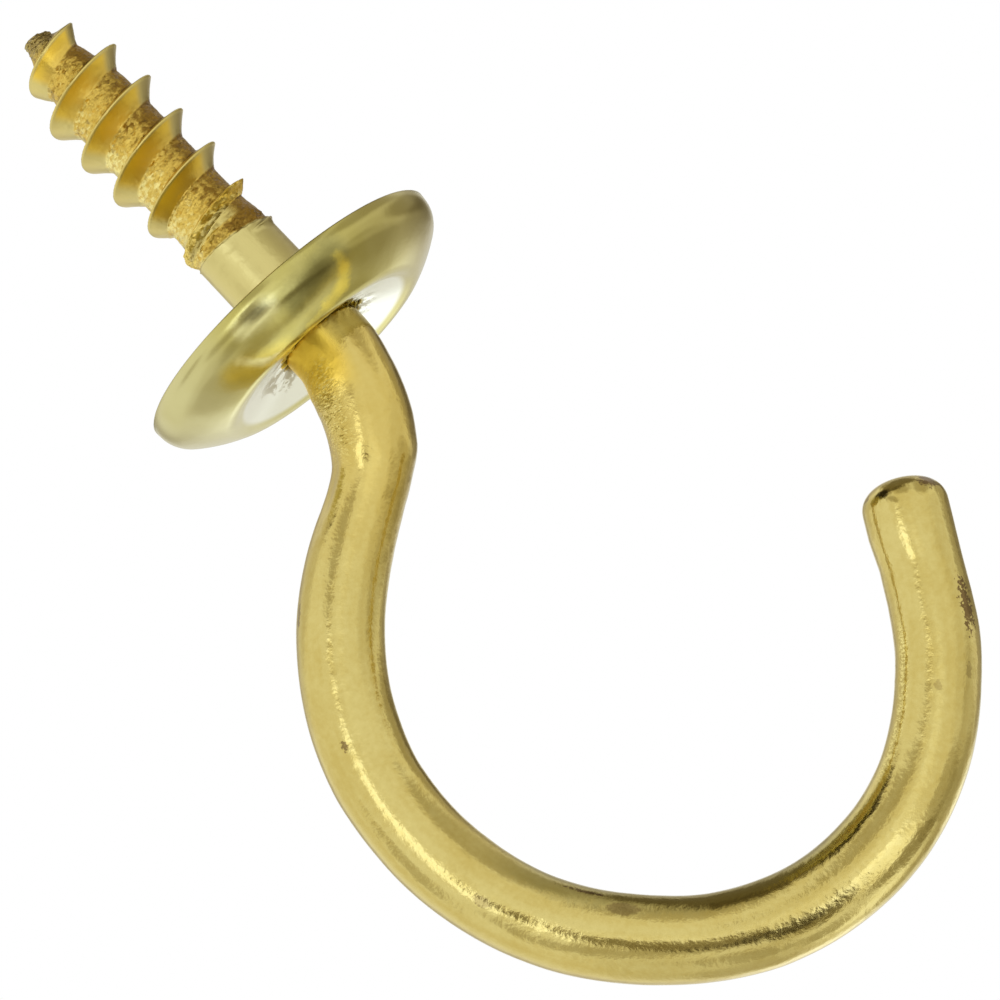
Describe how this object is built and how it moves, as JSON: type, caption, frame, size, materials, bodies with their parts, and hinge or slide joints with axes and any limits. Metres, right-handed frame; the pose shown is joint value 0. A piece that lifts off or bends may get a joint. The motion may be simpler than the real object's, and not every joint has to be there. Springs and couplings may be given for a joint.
{
  "type": "cup hook",
  "caption": "Open hook bent from round wire, with a wood-screw thread on its straight end and a domed, dished collar that seats on the surface it is screwed into.",
  "frame": {"origin": "on the screw's axis, in the plane where the collar's rim bears on the wood", "axes": "+Z along the screw towards its tip; the hook lies in the XZ plane below the collar and its mouth opens towards +X"},
  "size_m": [0.0257, 0.014, 0.0483],
  "materials": {
    "brass_wire": "tumbled to a soft satin gloss, with drawn lengthwise streaks, small stains and rolled, grainy thread roots",
    "brass_sheet": "pressed sheet with a bright satin gloss, a thin bright rim and a few brown spots"
  },
  "bodies": {
    "root": {"hook": "brass_wire", "collar": "brass_sheet"}
  },
  "joints": []
}
